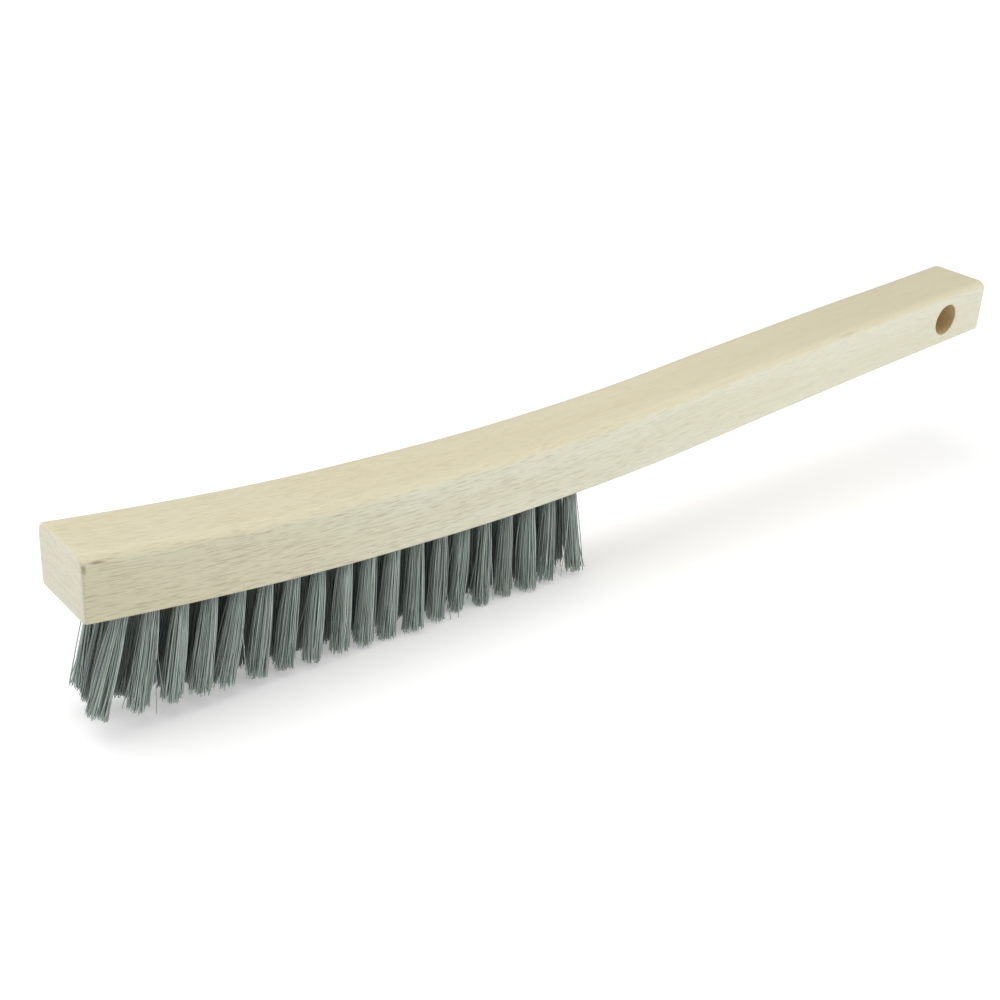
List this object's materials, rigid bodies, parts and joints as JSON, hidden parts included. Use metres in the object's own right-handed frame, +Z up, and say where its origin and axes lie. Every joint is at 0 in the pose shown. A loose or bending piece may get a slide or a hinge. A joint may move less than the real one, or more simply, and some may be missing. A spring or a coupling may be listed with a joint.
{
  "type": "wire scratch brush",
  "caption": "Long curved wooden hand brush with rows of steel wire tufts under its head and a hanging hole through the end of the grip.",
  "frame": {"origin": "under the middle of the brush, on the surface that the wire tips stand on", "axes": "+Z up from the wire tips to the wooden back, +X from the head to the hanging end of the handle, flat sides facing -Y and +Y"},
  "size_m": [0.3504, 0.0222, 0.0656],
  "materials": {
    "beech": "planed and lightly sanded raw beech, no varnish",
    "steel_wire": "bright drawn crimped wire, dull grey with a soft gloss"
  },
  "bodies": {
    "root": {"handle_block": "beech", "wire_tuft_near_01": "steel_wire", "wire_tuft_middle_01": "steel_wire", "wire_tuft_far_01": "steel_wire", "wire_tuft_near_02": "steel_wire", "wire_tuft_middle_02": "steel_wire", "wire_tuft_far_02": "steel_wire", "wire_tuft_near_03": "steel_wire", "wire_tuft_middle_03": "steel_wire", "wire_tuft_far_03": "steel_wire", "wire_tuft_near_04": "steel_wire", "wire_tuft_middle_04": "steel_wire", "wire_tuft_far_04": "steel_wire", "wire_tuft_near_05": "steel_wire", "wire_tuft_middle_05": "steel_wire", "wire_tuft_far_05": "steel_wire", "wire_tuft_near_06": "steel_wire", "wire_tuft_middle_06": "steel_wire", "wire_tuft_far_06": "steel_wire", "wire_tuft_near_07": "steel_wire", "wire_tuft_middle_07": "steel_wire", "wire_tuft_far_07": "steel_wire", "wire_tuft_near_08": "steel_wire", "wire_tuft_middle_08": "steel_wire", "wire_tuft_far_08": "steel_wire", "wire_tuft_near_09": "steel_wire", "wire_tuft_middle_09": "steel_wire", "wire_tuft_far_09": "steel_wire", "wire_tuft_near_10": "steel_wire", "wire_tuft_middle_10": "steel_wire", "wire_tuft_far_10": "steel_wire", "wire_tuft_near_11": "steel_wire", "wire_tuft_middle_11": "steel_wire", "wire_tuft_far_11": "steel_wire", "wire_tuft_near_12": "steel_wire", "wire_tuft_middle_12": "steel_wire", "wire_tuft_far_12": "steel_wire", "wire_tuft_near_13": "steel_wire", "wire_tuft_middle_13": "steel_wire", "wire_tuft_far_13": "steel_wire", "wire_tuft_near_14": "steel_wire", "wire_tuft_middle_14": "steel_wire", "wire_tuft_far_14": "steel_wire", "wire_tuft_near_15": "steel_wire", "wire_tuft_middle_15": "steel_wire", "wire_tuft_far_15": "steel_wire", "wire_tuft_near_16": "steel_wire", "wire_tuft_middle_16": "steel_wire", "wire_tuft_far_16": "steel_wire", "wire_tuft_near_17": "steel_wire", "wire_tuft_middle_17": "steel_wire", "wire_tuft_far_17": "steel_wire", "wire_tuft_near_18": "steel_wire", "wire_tuft_middle_18": "steel_wire", "wire_tuft_far_18": "steel_wire", "wire_tuft_near_19": "steel_wire", "wire_tuft_middle_19": "steel_wire", "wire_tuft_far_19": "steel_wire"}
  },
  "joints": []
}
